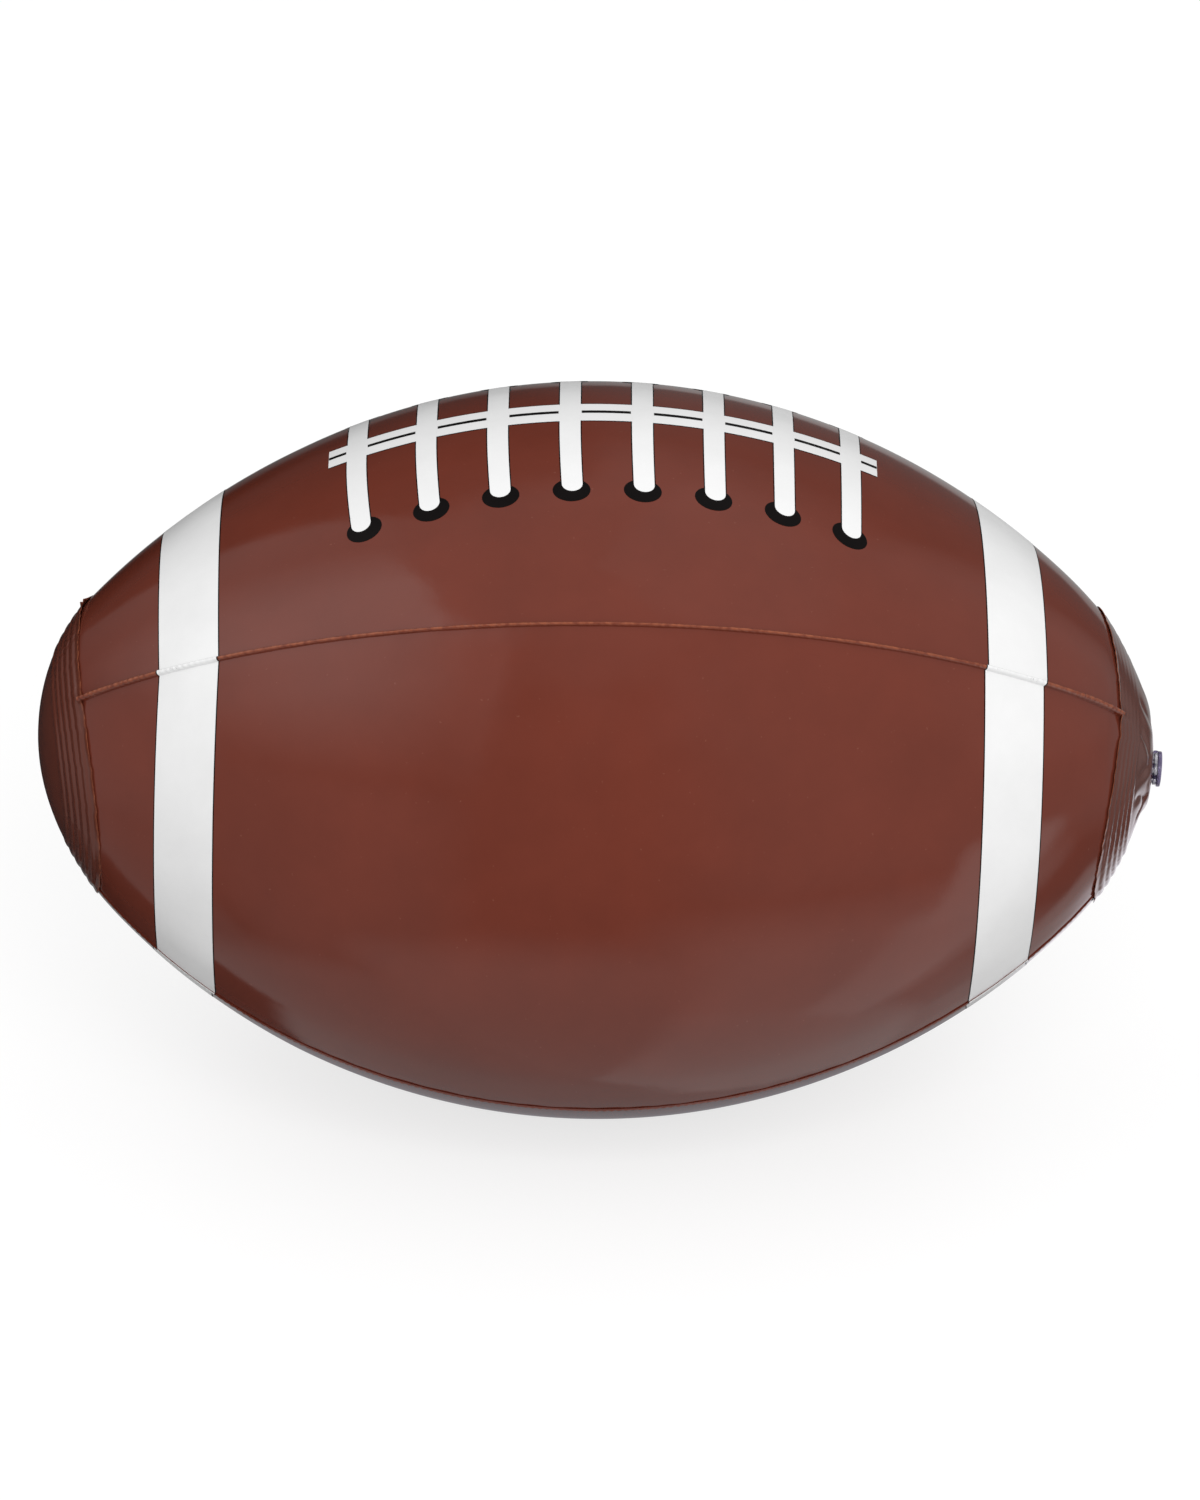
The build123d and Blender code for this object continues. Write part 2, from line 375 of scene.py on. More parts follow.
def brown_vinyl(name, base, roughness, graze_shade):
    """Glossy printed PVC film: faint mottling of the ink, fine orange peel, cut edges in a lighter
    colour with a painted highlight, and painted shade where the film is seen edge-on.
    """
    n = Nodes(name)
    dark, light = ((*(c * (1 + way * MOTTLE) for c in base[:3]), 1.0) for way in (-1, 1))
    body = n.ramp(n.noise(28, 4, 0.6), dark, light)
    specks = n.ramp(n.noise(950, 0), 0.0, 0.3, at=(0.84, 0.89))
    body = n.cover(specks, body, SPECK_COLOUR)
    # cut edges in their lighter colour with a painted highlight, broken up by noise
    edge = n.tree.nodes.new("ShaderNodeAttribute")
    edge.attribute_name = "lit_cut_edge"
    breaks = n.ramp(n.noise(420, 2), 0.25, 1.0, at=(0.35, 0.6))
    body = n.cover(n.math("MULTIPLY", edge.outputs["Fac"], breaks), body, LIT_CUT_EDGE_COLOUR)
    # painted shade, darker where the film is seen edge-on
    body = n.cover(n.graze(GRAZE_SHADE_POWER, graze_shade), body, GRAZE_SHADE_COLOUR)
    gloss = n.ramp(n.noise(60, 3), roughness - 0.02, roughness + 0.03)
    peel = n.bump(n.noise(240, 2), 0.10, 0.0002)
    peel = n.bump(n.noise(1500, 1), 0.05, 0.00005, peel)
    n.set(Base_Color=body, Roughness=gloss, Normal=peel, IOR=1.5)
    return n.material


def ink(name, low, high, roughness, sheen=0.5):
    """A printed colour with a faint mottle and sheen of its own."""
    n = Nodes(name)
    body = n.ramp(n.noise(45, 4, 0.6), low, high)
    gloss = n.ramp(n.noise(70, 3), roughness - 0.02, roughness + 0.04)
    peel = n.bump(n.noise(260, 2), 0.08, 0.0002)
    n.set(Base_Color=body, Roughness=gloss, Normal=peel, IOR=1.5, Specular_IOR_Level=sheen)
    return n.material


def clear_vinyl(name, dark, light, at):
    """Soft clear PVC, a little purple, with marks from dark to light; between near-black and
    near-white tones the marks are painted glints.
    """
    n = Nodes(name)
    body = n.ramp(n.noise(110, 2, stretch=(1.0, 1.0, 3.0)), dark, light, at)
    gloss = n.ramp(n.noise(200, 2), 0.08, 0.18)
    peel = n.bump(n.noise(300, 2), 0.06, 0.0002)
    n.set(Base_Color=body, Roughness=gloss, Normal=peel, IOR=1.53, Transmission_Weight=0.65)
    return n.material


# the last number is how far painted shade darkens each film where it is seen edge-on
film_finish = brown_vinyl("brown_vinyl", linear(108, 49, 36), 0.09, 0.45)
cap_finish = brown_vinyl("brown_vinyl_cap", linear(96, 49, 38), 0.12, 0.3)
INKS = {
    "white_print": ink("white_print", linear(236, 236, 236), linear(241, 241, 241), 0.2),
    "black_print": ink("black_print", linear(10, 7, 7), linear(17, 12, 12), 0.35, sheen=0.12),
}
soft_tones = linear(112, 100, 140), linear(158, 148, 182)
clear_finish = clear_vinyl("clear_vinyl", *soft_tones, at=(0.3, 0.7))
# painted glints: flecks from near black to near white on the stem's rim stand in for highlights and
# dark reflections
painted_glint_tones = linear(70, 60, 92), linear(250, 248, 254)
rim_glint_finish = clear_vinyl("clear_vinyl_rim_glints", *painted_glint_tones, at=(0.44, 0.5))

# ---- Where the end caps' edges lie ----
# Each cap's edge waves in and out along the ball: mean place, then the size of its one-wave and
# two-wave parts, each with the turn from +Z toward -Y at which it reaches furthest out.
CAP_WAVES = {
    "left": (179.5, (0.4, 15.0), (3.3, 16.0)),
    "right": (182.3, (1.0, 30.0), (3.6, 42.0)),
}
FRAY = 0.22
SEAM_NOTCH = (55, 0.09, 0.7)  # of the right cap's edge: turn in degrees, width in radians, size
LIP_WIDTH = 2.4
LIP_HEIGHT = {"left": 0.25, "right": 0.45}
RIB_COUNT = 5
RIB_PITCH = 3.85
RIB_HEIGHT = 0.42
RIB_CREST_POWER = 1.36  # puts each crest at 0.6 of its pitch
# how much a cap's cut edge takes of its lighter colour and painted highlight
CAP_LIT_EDGE = 0.8


def cap_edge_run(side, turn):
    """Distance along the skin from mid-length to the cap's cut edge."""
    mean, *waves = CAP_WAVES[side]
    x = mean + 0 * turn
    for order, (size, furthest) in enumerate(waves, 1):
        x = x + size * np.cos(order * (turn - radians(furthest)))
    if side == "right":
        at, width, size = SEAM_NOTCH
        x = x + size * np.exp(-(((turn - radians(at)) / width) ** 2))
    fray = np.sin(turn * 37 + 1.0) * np.sin(turn * 11) + 0.6 * np.sin(turn * 71 + 2)
    return run_of(x) + FRAY * fray


# ---- Panels ----
FIN_PROFILE = np.array(  # across the seam toward +phi, and outward
    [(0.62, -0.18), (0.50, 0.10), (0.38, 0.50), (0.24, 0.92), (0.0, 1.22), (-0.34, 1.34),
     (-0.68, 1.24), (-0.88, 0.90), (-0.86, 0.45), (-0.80, 0.10), (-0.78, -0.18)]
)
# how much each profile point takes of the cut edge's lighter colour and painted highlight, most on
# the lit crest
FIN_LIT_CREST = np.array([0.0, 0.0, 0.1, 0.3, 0.7, 0.9, 0.9, 0.6, 0.3, 0.1, 0.0])
FIN_SIDES = {"lace": (), "front": (-1, 1), "bottom": (), "rear": (-1, 1)}
FIN_SIZE = 0.95
FIN_END_GROWTH = 0.55
FIN_UNDER_CAP = 1.6  # how far a fin runs on past the cap's edge
LAID_SIZE = 0.8
LAID_LEAN, LAID_LEAN_GROWTH = radians(48), radians(24)
CRIMP_PITCH = 2.6


def fin_points(run, k, side, grow=0.0):
    """The welded rim along one side of panel k, which carries the rims of both its seams.

    The upper two stand up, taller toward the ends. The ball's weight has laid the lower two over.
    grow is how far outside the rim the points lie, for the ink on it.
    """
    run = np.asarray(run, float)[:, None]
    across, out = FIN_PROFILE[None, :, 0], FIN_PROFILE[None, :, 1]
    share = np.abs(run) / BODY_RUN
    seam = (2 * k + side) * QUARTER
    lower = cos(seam) < 0
    size = FIN_SIZE + (0.0 if lower else FIN_END_GROWTH) * share**3
    size = size + 0.06 * np.sin(run / 5.1 + k) * np.sin(run / 17 + 2 * k)
    phase = 2 * pi * (run + 1.1 * out) / CRIMP_PITCH + 0.8 * np.sin(run / 13 + k)
    top = np.clip(out / 1.3, 0, 1)
    crimp = (0.10 + 0.04 * np.sin(run / 3.7)) * top * np.sin(phase)
    across = across * size + 0.7 * crimp + grow * np.sign(across)
    out = out * size + crimp + grow * top
    if lower:
        lean = LAID_LEAN + LAID_LEAN_GROWTH * share**2
        leant = across * np.cos(lean) - out * np.sin(lean)
        out = LAID_SIZE * (out * np.cos(lean) + across * np.sin(lean))
        across = LAID_SIZE * leant
        out = np.where(top > 0, np.maximum(out, 0.1 * top), out)
    base = skin(run, side * QUARTER, k, False)
    ring = np.hypot(base[..., 1], base[..., 2])
    turn = seam - side * across / np.maximum(ring, 1)
    slope = np.clip(np.abs(run), 0, BODY_RUN) / MERIDIAN
    r = ring + out * np.cos(slope)
    x = base[..., 0] + np.sign(run) * out * np.sin(slope)
    return np.stack([x, -r * np.sin(turn), r * np.cos(turn)], -1)


def tube_of(loops):
    """Closed tube through rows of points, each row a closed loop, with both ends shut."""
    rows, cols = loops.shape[:2]
    verts = loops.reshape(-1, 3)
    faces = [grid_faces(rows, cols, 0, True)]
    for row, flip in ((0, True), (rows - 1, False)):
        half = cols // 2
        j = np.arange(half)
        quad = np.stack([j, j + 1, cols - 2 - j, cols - 1 - j], -1)
        quad = quad[quad[:, 1] < quad[:, 2]] + row * cols
        faces.append(quad[:, ::-1] if flip else quad)
    return verts, np.concatenate(faces)


def spaced(stops):
    """Numbers from a list of (start, step), each stretch running to the next start."""
    out = []
    for (a, step), (b, _) in zip(stops[:-1], stops[1:]):
        n = max(1, round((b - a) / step))
        out += list(np.linspace(a, b, n, endpoint=False))
    return np.array(out + [stops[-1][0]])


TAB_END = BODY_RUN + 20.0
half_runs = spaced([(0, 2.6), (190, 2.0), (TAB_END, 0)])
PANEL_RUNS = np.concatenate([-half_runs[:0:-1], half_runs])
SEAM_TUCK = 0.0002  # radians by which a panel's film stops short of the seam's plane
half_phi = spaced([(0, 0.0225), (0.68, 0.012), (QUARTER - SEAM_TUCK, 0)])
PANEL_PHIS = np.concatenate([-half_phi[:0:-1], half_phi])


def panel_part(k):
    """Panel k's film with the fins that it carries, and how much each point takes of the lighter
    cut-edge colour with its painted highlight.
    """
    run, phi = PANEL_RUNS[:, None], PANEL_PHIS[None, :]
    parts = [shell(skin(run, phi, k), lifted(run, phi, k, -FILM))]
    lit_edge_lists = [np.zeros(len(parts[0][0]))]
    for side in FIN_SIDES[PANELS[k]]:
        seam = np.array((2 * k + side) * QUARTER)
        left, right = (float(cap_edge_run(end, seam)) + FIN_UNDER_CAP for end in ("left", "right"))
        runs = np.linspace(-left, right, 900)
        parts.append(tube_of(fin_points(runs, k, side)))
        lit_edge_lists.append(np.tile(FIN_LIT_CREST, len(runs)))
    return joined(*parts), np.concatenate(lit_edge_lists)


for k, name in enumerate(PANELS):
    part, lit_edges = panel_part(k)
    obj = make_mesh(f"{name}_panel_film", part, film_finish, lit_edges=lit_edges)
    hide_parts(f"{name}_panel")
    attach(obj, "ball")

# ---- Print on the panels ----
STRIPE_MIDDLE = 146.0  # place of each white stripe along the axis
STRIPE_WIDTH = 21.0
STRIPE_BOW = 0.0005  # mm by which its ends lie nearer mid-length, per degree squared
STRIPE_LIFT = 0.09
KEYLINE = 0.4
KEYLINE_LIFT = 0.05
PRINT_FOOT = 0.004  # height of the ink's lower face, clear of the film
# How each panel's stripes sit off their place: left shift and lean, right shift and lean, in mm
# and mm per degree round the ball. The prints never quite line up at the welds.
STRIPE_DRIFT = {
    "lace": (1.9, 0.0, 1.1, 0.062),
    "front": (0.8, -0.027, 0.8, -0.038),
    "bottom": (-0.9, 0.02, -0.4, 0.03),
    "rear": (0.6, -0.02, -1.0, -0.02),
}


def stripe_x(side, phi, offset, k):
    """Place on the long axis of a line in a stripe, at an offset from the stripe's middle."""
    left_shift, left_lean, right_shift, right_lean = STRIPE_DRIFT[PANELS[k]]
    turn = np.degrees(phi)
    shift, lean = (left_shift, left_lean) if side < 0 else (right_shift, right_lean)
    return side * (STRIPE_MIDDLE + offset - STRIPE_BOW * turn**2) + shift + lean * turn


def stripe(side, k, extra, lift):
    """One stripe on a panel, wider by extra on each side, and its pieces over the panel's fins."""
    half = STRIPE_WIDTH / 2 + extra
    phi = PANEL_PHIS[None, :]
    x = stripe_x(side, phi, np.linspace(-half, half, 10)[:, None], k)
    run = np.sign(x) * run_of(np.abs(x))
    parts = [shell(lifted(run, phi, k, lift), lifted(run, phi, k, PRINT_FOOT))]
    for fin in FIN_SIDES[PANELS[k]]:
        ends = stripe_x(side, fin * QUARTER, np.array([-half, half]), k)
        runs = np.sign(ends) * run_of(np.abs(ends))
        along = np.linspace(runs.min(), runs.max(), 50)
        parts.append(shell(fin_points(along, k, fin, lift), fin_points(along, k, fin, PRINT_FOOT)))
    return joined(*parts)


STRIPE_KINDS = (
    ("stripes", 0.0, STRIPE_LIFT, "white_print"),
    ("keylines", KEYLINE, KEYLINE_LIFT, "black_print"),
)
for k, name in enumerate(PANELS):
    for kind, extra, lift, slot in STRIPE_KINDS:
        both = joined(*(stripe(side, k, extra, lift) for side in (-1, 1)))
        obj = make_mesh(f"{name}_{kind}", both, INKS[slot])
        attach(obj, "ball")

# ---- Printed laces, on the lace panel ----
LACE_COUNT = 8
LACE_PITCH = 25.62  # along the skin, at mid-length
LACE_CENTRE = 3.1
LACE_CROWD = 0.051  # mm by which the pitch shrinks toward the right, per bar squared
LACE_LINE = -6.0  # arc from the panel's middle to the line between the rails
LACE_REACH = 51.6  # from that line to a bar's tip
BAR_WIDTH = 7.4
BAR_BEND = 0.0026  # mm along the ball per squared degree toward the front, at mid-length
BAR_FAN = 0.000034  # and how much less per mm along the ball
RAIL_HALF = 7.6  # from the line to a rail's outer edge
RAIL_BOW = 0.00008
RAIL_KEYLINE = 0.6
GAP_HALF = 1.1
RAIL_ENDS = (-98.0, 102.4)
EYELET_CENTRE = 2.6
EYELET_PITCH = 25.4
EYELET_SIZE = (6.75, 5.75)  # half sizes along the ball and round it
EYELET_PLACE = 51.0
REACH_LOSS = 0.0107  # how much nearer the line the tips and eyelets lie, per mm to the right
BAR_LIFT = 0.12
BAR_KEY_LIFT = 0.04
RAIL_LIFT = 0.09
RAIL_KEY_LIFT = 0.03
EYELET_LIFT = 0.06
STRIP_STEP = 2.6  # between a printed strip's points


def on_lace_panel(run, arc, lift):
    """Point at a distance along the skin and an arc round it from the panel's middle."""
    phi = arc / ring_radius(run)
    bend = (BAR_BEND - BAR_FAN * run) * np.clip(np.degrees(phi), 0, None) ** 2
    return lifted(run + bend, phi, 0, lift)


def ink_patch(run, arc, lift, wrap=False):
    """A closed sheet of ink over a grid of places on the lace panel."""
    return shell(on_lace_panel(run, arc, lift), on_lace_panel(run, arc, PRINT_FOOT), wrap)


def bar(centre, half, lift, reach):
    """One lace: a long strip with round ends."""
    a = np.linspace(0, pi / 2, 9)
    tip = reach - half * (1 - np.cos(a))
    width = half * np.sin(a)
    straight = np.linspace(-(reach - half), reach - half, 38)[1:-1]
    arcs = np.concatenate([-tip, straight, tip[::-1]])
    widths = np.concatenate([width, np.full(len(straight), half), width[::-1]])
    run = centre + np.linspace(-1, 1, 6) * widths[:, None]
    return ink_patch(run, LACE_LINE + arcs[:, None], lift)


def strip(run_a, run_b, arc_a, arc_b, lift):
    """A printed strip along the ball, bowed with the rails."""
    n = max(2, round((run_b - run_a) / STRIP_STEP))
    run = np.linspace(run_a, run_b, n)[:, None]
    arc = LACE_LINE + np.linspace(arc_a, arc_b, 5) - RAIL_BOW * run**2
    return ink_patch(run, arc, lift)


def eyelet(centre, arc, lift):
    """An oval spot of ink."""
    a = np.linspace(0, 2 * pi, 48, endpoint=False)
    share = np.linspace(0.02, 1, 6)[:, None]
    run = centre + share * EYELET_SIZE[0] * np.cos(a)
    return ink_patch(run, arc + share * EYELET_SIZE[1] * np.sin(a), lift, wrap=True)


order = np.arange(LACE_COUNT) - (LACE_COUNT - 1) / 2
laces = LACE_CENTRE + LACE_PITCH * order - LACE_CROWD * order**2
holes = EYELET_CENTRE + EYELET_PITCH * order
losses = REACH_LOSS * holes
half_bar = BAR_WIDTH / 2
bars = [bar(c, half_bar, BAR_LIFT, LACE_REACH - loss) for c, loss in zip(laces, losses)]
bar_keys = [
    bar(c, half_bar + KEYLINE, BAR_KEY_LIFT, LACE_REACH - loss + KEYLINE)
    for c, loss in zip(laces, losses)
]
rails = [strip(*RAIL_ENDS, -RAIL_HALF, RAIL_HALF, RAIL_LIFT)]
rail_edge = RAIL_HALF + RAIL_KEYLINE
rail_keys = [strip(*RAIL_ENDS, -rail_edge, rail_edge, RAIL_KEY_LIFT)]
gap_starts = [RAIL_ENDS[0] + 0.1, *(laces + half_bar + KEYLINE)]
gap_ends = [*(laces - half_bar - KEYLINE), RAIL_ENDS[1] - 0.1]
gaps = [strip(a, b, -GAP_HALF, GAP_HALF, BAR_LIFT) for a, b in zip(gap_starts, gap_ends)]
eyelets = [
    eyelet(c, LACE_LINE + side * (EYELET_PLACE - loss), EYELET_LIFT)
    for c, loss in zip(holes, losses)
    for side in (-1, 1)
]
for name, parts, slot in (
    ("lace_bars", bars, "white_print"),
    ("lace_rails", rails, "white_print"),
    ("lace_rail_gaps", gaps, "black_print"),
    ("lace_rail_keylines", rail_keys, "black_print"),
    ("lace_bar_keylines", bar_keys, "black_print"),
    ("eyelets", eyelets, "black_print"),
):
    obj = make_mesh(name, joined(*parts), INKS[slot])
    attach(obj, "ball")

# ---- End caps ----
VALVE_DROP = 6.0  # how far below the pole the valve sits
VALVE_TILT = asin(VALVE_DROP / CAP_SPHERE)
VALVE_OUT = np.array([cos(VALVE_TILT), 0, -sin(VALVE_TILT)])
VALVE_UP = np.array([sin(VALVE_TILT), 0, cos(VALVE_TILT)])
HOLE_RADIUS = 7.5
CAP_TURNS = 320
BAND = LIP_WIDTH + RIB_COUNT * RIB_PITCH
CAP_RUN = CAP_SEAT * EDGE_ANGLE
band_stops = spaced([(0, 0.6), (LIP_WIDTH, 0.43), (BAND, 0)])
dome_share = np.linspace(0, 1, 17)[1:]

# Creases of a cap's face: turn and distance from the pole of their middle (degrees and mm),
# direction (degrees from pointing at the pole), half length, width and depth in mm.
CREASES = {
    "left": (
        (70, 24, 20, 14, 2.2, 0.15),
        (150, 20, -15, 12, 2.5, 0.2),
        (250, 22, 30, 15, 2.0, 0.2),
        (330, 18, 5, 12, 2.4, 0.15),
    ),
    "right": (
        (20, 19, 10, 12, 1.6, 0.5),
        (52, 22, -25, 11, 1.4, 0.45),
        (78, 17, 20, 10, 1.6, 0.5),
        (104, 24, -35, 15, 1.5, 0.75),
        (122, 20, 15, 13, 1.4, 0.6),
        (150, 23, -10, 12, 1.8, 0.5),
        (190, 20, 25, 13, 1.6, 0.5),
        (228, 18, -20, 12, 1.8, 0.45),
        (268, 22, 12, 13, 1.5, 0.5),
        (310, 19, -18, 12, 1.7, 0.5),
        (342, 24, 30, 10, 1.6, 0.45),
    ),
}
CREASE_BEND = 0.02  # sideways, per mm squared from its middle
CREASE_SWELL = 0.35  # height of the swell beside a crease, as a share of its depth
SWELL_PLACE = 2.4  # in widths of the crease

LEFT_RIBS = 0.7  # share of RIB_HEIGHT
RIGHT_RIBS = 1.1
FLAT_RIBS = (25, 68)  # middle and half width, in degrees, of the right cap's flatter stretch
LIP_WAVES = (  # height, waves round the cap, then where each starts on the left and the right cap
    (0.1125, 5, 1.0, 1.0),
    (0.0875, 11, 2.0, 0.4),
    (0.0625, 23, 1.7, 1.7),
)
TORN = (-14, 9, 1.5)  # the left lip's torn flap: turn and width in degrees, height
TORN_WAVES = ((0.35, 52, 0), (0.2, 83, 1))  # as in LIP_WAVES
LIP_CURL_POWER = 1.6
UPPER_FIN_BUMP, LOWER_FIN_BUMP = 0.9, 0.4  # how far a cap rides up over a fin
FIN_BUMP_WIDTH, FIN_BUMP_FADE = 2.6, 5.0  # round the cap, and in from its edge
DOME_EDGE = 31.5  # from the pole, where the creases have ended
CREASE_FADE = 4.0
LEFT_CALM = 9.0  # radius of the smooth middle of the left cap
FLANGE_CLEAR = 12.6  # radius about the valve that keeps to the plain form
FLANGE_FADE = 5.0


def nearest_turn(turn, degrees):
    """Turn from a place round the ball, in radians from -pi to pi."""
    return (turn - radians(degrees) + pi) % (2 * pi) - pi


def ribs(depth_in, side, turn):
    """Height of the embossed rings at a distance in from the cap's edge."""
    u = (depth_in - LIP_WIDTH) / RIB_PITCH
    tooth = np.sin(pi * (1 - u % 1.0) ** RIB_CREST_POWER)
    share = LEFT_RIBS
    if side == "right":
        middle, half = FLAT_RIBS
        share = RIGHT_RIBS - np.exp(-((nearest_turn(turn, middle) / radians(half)) ** 4))
    return np.where((u > 0) & (u < RIB_COUNT), RIB_HEIGHT * share * tooth, 0.0)


def lip_height(side, turn):
    """How far a cap's cut edge stands up: uneven, and with a torn flap on the left cap."""
    column = 2 if side == "left" else 3
    height = LIP_HEIGHT[side] + sum(
        wave[0] * np.sin(wave[1] * turn + wave[column]) for wave in LIP_WAVES
    )
    if side == "left":
        at, width, tall = TORN
        torn = np.exp(-((nearest_turn(turn, at) / radians(width)) ** 2))
        frayed = sum(high * np.sin(count * turn + start) for high, count, start in TORN_WAVES)
        height = height + torn * (tall + frayed)
    return height


def dome_ways(side, start, turn):
    """Directions off the cap's centre, from the band's to the valve's hole or to the pole."""
    if side == "right":
        hub, up, hole = VALVE_OUT, VALVE_UP, asin(HOLE_RADIUS / CAP_SPHERE)
    else:
        hub, up, hole = np.array([-1.0, 0, 0]), np.array([0, 0, 1.0]), 0.0004
    across = np.array([0, -1.0, 0])
    sideways = np.cos(turn)[:, None] * up + np.sin(turn)[:, None] * across
    rim = hub * cos(hole) + sin(hole) * sideways
    gap = np.arccos(np.clip((start * rim).sum(-1), -1, 1))[:, None]
    share = dome_share[:, None, None]
    return (np.sin((1 - share) * gap) * start + np.sin(share * gap) * rim) / np.sin(gap)


def creases(side, px, py):
    """Height of a cap's creases at places on its face, in mm from the pole."""
    height = 0 * px
    for at, away, direction, half, width, depth in CREASES[side]:
        dx, dy = px - away * cos(radians(at)), py - away * sin(radians(at))
        heading = radians(at + direction)
        u = dx * cos(heading) + dy * sin(heading)
        v = dy * cos(heading) - dx * sin(heading) + CREASE_BEND * u**2 * np.sign(direction)
        groove = np.exp(-np.sqrt(v**2 + 0.15) / width)
        swell = CREASE_SWELL * np.exp(-((v / width - SWELL_PLACE) ** 2) / 2)
        height -= depth * (groove - swell) * np.exp(-((u / half) ** 4))
    return height


def dome_relief(side, way):
    """Creases and slack of a cap's smooth middle, from unit directions off the cap's centre."""
    from_pole = np.arccos(np.clip(np.abs(way[..., 0]), -1, 1)) * CAP_SPHERE
    turn = np.arctan2(-way[..., 1], way[..., 2])
    height = creases(side, from_pole * np.cos(turn), from_pole * np.sin(turn))
    height = height * np.clip((DOME_EDGE - from_pole) / CREASE_FADE, 0, 1)
    run = POLE_RUN - from_pole * CAP_SEAT / CAP_SPHERE
    if side == "left":
        calm = np.clip((from_pole - LEFT_CALM) / CREASE_FADE, 0, 1)
        return height * calm + end_form(-run, turn)
    off_valve = np.arccos(np.clip(way @ VALVE_OUT, -1, 1)) * CAP_SPHERE
    free = np.clip((off_valve - FLANGE_CLEAR) / FLANGE_FADE, 0, 1)
    return (height + end_form(run, turn)) * free**2 * (3 - 2 * free)


def cap_part(side):
    """A cap's film: lip, band of rings and dome, and how much each point takes of the lighter
    cut-edge colour with its painted highlight.
    """
    sign = 1.0 if side == "right" else -1.0
    turn = np.linspace(0, 2 * pi, CAP_TURNS, endpoint=False)
    edge = cap_edge_run(side, turn)
    depth_in = band_stops[:, None]
    run = edge + depth_in * (POLE_RUN - edge) / CAP_RUN
    phi = (turn + QUARTER) % (2 * QUARTER) - QUARTER
    k = np.round((turn - phi) / (2 * QUARTER))
    base = skin(sign * run, phi, k, False)
    middle = np.array([sign * CAP_X, 0, 0])
    out = base - middle
    out /= np.linalg.norm(out, axis=-1, keepdims=True)

    # the lip turns up, and the cap rides over each fin
    rings = ribs(depth_in, side, turn)
    curl = (1 - np.clip(depth_in / LIP_WIDTH, 0, 1)) ** LIP_CURL_POWER
    to_fin = (QUARTER - np.abs(phi)) * np.hypot(base[..., 1], base[..., 2])
    over_fin = np.exp(-((to_fin / FIN_BUMP_WIDTH) ** 2) - depth_in / FIN_BUMP_FADE)
    bump = np.where(np.cos(turn) < 0, LOWER_FIN_BUMP, UPPER_FIN_BUMP)
    lift = CAP_FILM + rings + curl * lip_height(side, turn) + bump * over_fin
    inner_lift = lift - np.minimum(lift - 0.02, CAP_FILM + rings * 0.8)
    way = dome_ways(side, out[-1], turn)
    radius = (CAP_SPHERE + dome_relief(side, way))[..., None]
    outer = np.concatenate([base + out * lift[..., None], middle + way * radius])
    inner = np.concatenate(
        [base + out * inner_lift[..., None], middle + way * (radius - CAP_FILM)]
    )
    # the cut edge in its lighter colour with a painted highlight; the row next to it takes a third,
    # as painted light on the lip's dark side
    lit_edges = np.zeros((2, *outer.shape[:2]))
    lit_edges[:, 0] = CAP_LIT_EDGE
    lit_edges[:, 1] = CAP_LIT_EDGE / 3
    return shell(outer, inner, wrap=True), lit_edges.ravel()


for side in ("left", "right"):
    part, lit_edges = cap_part(side)
    obj = make_mesh(f"{side}_cap_film", part, cap_finish, sharp=60.0, lit_edges=lit_edges)
    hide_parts(f"{side}_end_cap")
    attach(obj, "ball")

# ---- Valve ----
VALVE_FACE = np.array([CAP_X, 0, 0]) + VALVE_OUT * CAP_SPHERE
VALVE_AXES = np.array([[0, 1, 0], np.cross(VALVE_OUT, [0, 1, 0]), VALVE_OUT])


def in_valve(points):
    """From the valve's own frame, with its mouth along +Z, to the ball's."""
    return points @ VALVE_AXES + VALVE_FACE


def turned(profile, count=64):
    """A closed profile of (radius, height) points turned round the valve's axis."""
    a = np.linspace(0, 2 * pi, count, endpoint=False)
    r, z = np.array([*profile, profile[0]]).T[..., None]
    points = np.stack([r * np.cos(a), r * np.sin(a), z + 0 * a], -1)
    return in_valve(points.reshape(-1, 3)), grid_faces(len(profile) + 1, count, wrap=True)


def rounded(corners, radius=0.25, steps=4):
    """A closed outline with its corners rounded, apart from those on the axis or past it."""
    out = []
    for i, corner in enumerate(corners):
        here = np.array(corner, float)
        before, after = (np.array(corners[j % len(corners)], float) for j in (i - 1, i + 1))
        if here[0] < 0.05:
            out.append(tuple(here))
            continue
        to_before, to_after = before - here, after - here
        lengths = np.linalg.norm(to_before), np.linalg.norm(to_after)
        cut = min(radius, *(length / 2.2 for length in lengths))
        start, end = here + to_before / lengths[0] * cut, here + to_after / lengths[1] * cut
        for t in np.linspace(0, 1, steps):
            out.append(tuple((1 - t) ** 2 * start + 2 * t * (1 - t) * here + t * t * end))
    return out


def put(name, part, body, node, finish=clear_finish):
    """A dressed piece of the valve in its node's place."""
    obj = make_mesh(name, part, finish, sharp=40.0)
    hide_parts(node)
    if body:
        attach(obj, body)
    return obj


def under(depth, radius):
    """Point of a profile at a depth below the cap's outer face."""
    return (radius, sqrt((CAP_SPHERE - depth) ** 2 - radius**2) - CAP_SPHERE)


# A profile's points are (radius, height) in mm, with the cap's face at height 0.
FLANGE_TOP, FLANGE_FOOT = 0.32, 0.9
flange_radii = (7.5, 9.0, 10.5, 12.0)
flange = [under(FLANGE_TOP, r) for r in flange_radii]
flange += [under(FLANGE_FOOT, r) for r in flange_radii[::-1]]
put("valve_flange_disc", turned(rounded(flange, 0.15)), "ball", "valve_flange")

